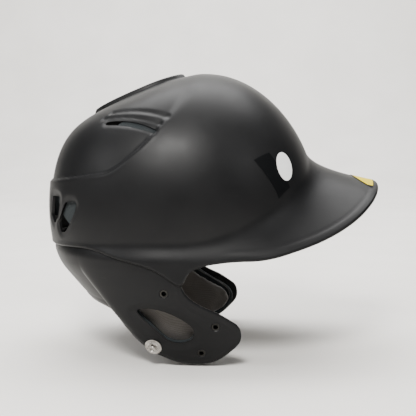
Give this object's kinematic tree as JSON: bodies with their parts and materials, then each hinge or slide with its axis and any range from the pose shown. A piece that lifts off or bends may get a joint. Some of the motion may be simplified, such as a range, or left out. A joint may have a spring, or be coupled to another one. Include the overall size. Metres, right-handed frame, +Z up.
{
  "type": "batting helmet",
  "caption": "Hard moulded batting helmet with a curved brim, ear flaps with ear holes, rear vents, louvres, a recessed rear panel and foam pads inside.",
  "frame": {"origin": "bottom centre of the helmet's bounding box, standing as it is worn", "axes": "+X forward through the brim, +Y to the wearer's left, +Z up"},
  "size_m": [0.3045, 0.2196, 0.2525],
  "materials": {
    "shell_plastic": "matte, fine moulded grain",
    "impact_foam": "closed-cell foam, matte",
    "pad_fabric": "brushed knit over soft foam, dull",
    "insert_metal": "zinc plated, satin",
    "snap_metal": "nickel plated, worn satin",
    "front_label_film": "dark satin film with a small pale shape",
    "brim_label_film": "yellow film with a dark border, no text"
  },
  "bodies": {
    "root": {"outer_shell": "shell_plastic", "crown_foam": "impact_foam", "crown_comfort_pad": "pad_fabric", "front_foam": "impact_foam", "front_comfort_pad": "pad_fabric", "rear_foam": "impact_foam", "rear_comfort_pad": "pad_fabric", "side_left_foam": "impact_foam", "side_left_comfort_pad": "pad_fabric", "side_right_foam": "impact_foam", "side_right_comfort_pad": "pad_fabric", "rear_side_left_foam": "impact_foam", "rear_side_left_comfort_pad": "pad_fabric", "rear_side_right_foam": "impact_foam", "rear_side_right_comfort_pad": "pad_fabric", "nape_pad": "pad_fabric", "ear_foam_right": "impact_foam", "ear_comfort_pad_right": "pad_fabric", "snap_stud_right": "snap_metal", "snap_rivet_right": "snap_metal", "faceguard_nuts_right": "insert_metal", "ear_foam_left": "impact_foam", "ear_comfort_pad_left": "pad_fabric", "snap_stud_left": "snap_metal", "snap_rivet_left": "snap_metal", "faceguard_nuts_left": "insert_metal", "front_label": "front_label_film", "brim_label": "brim_label_film"}
  },
  "joints": []
}
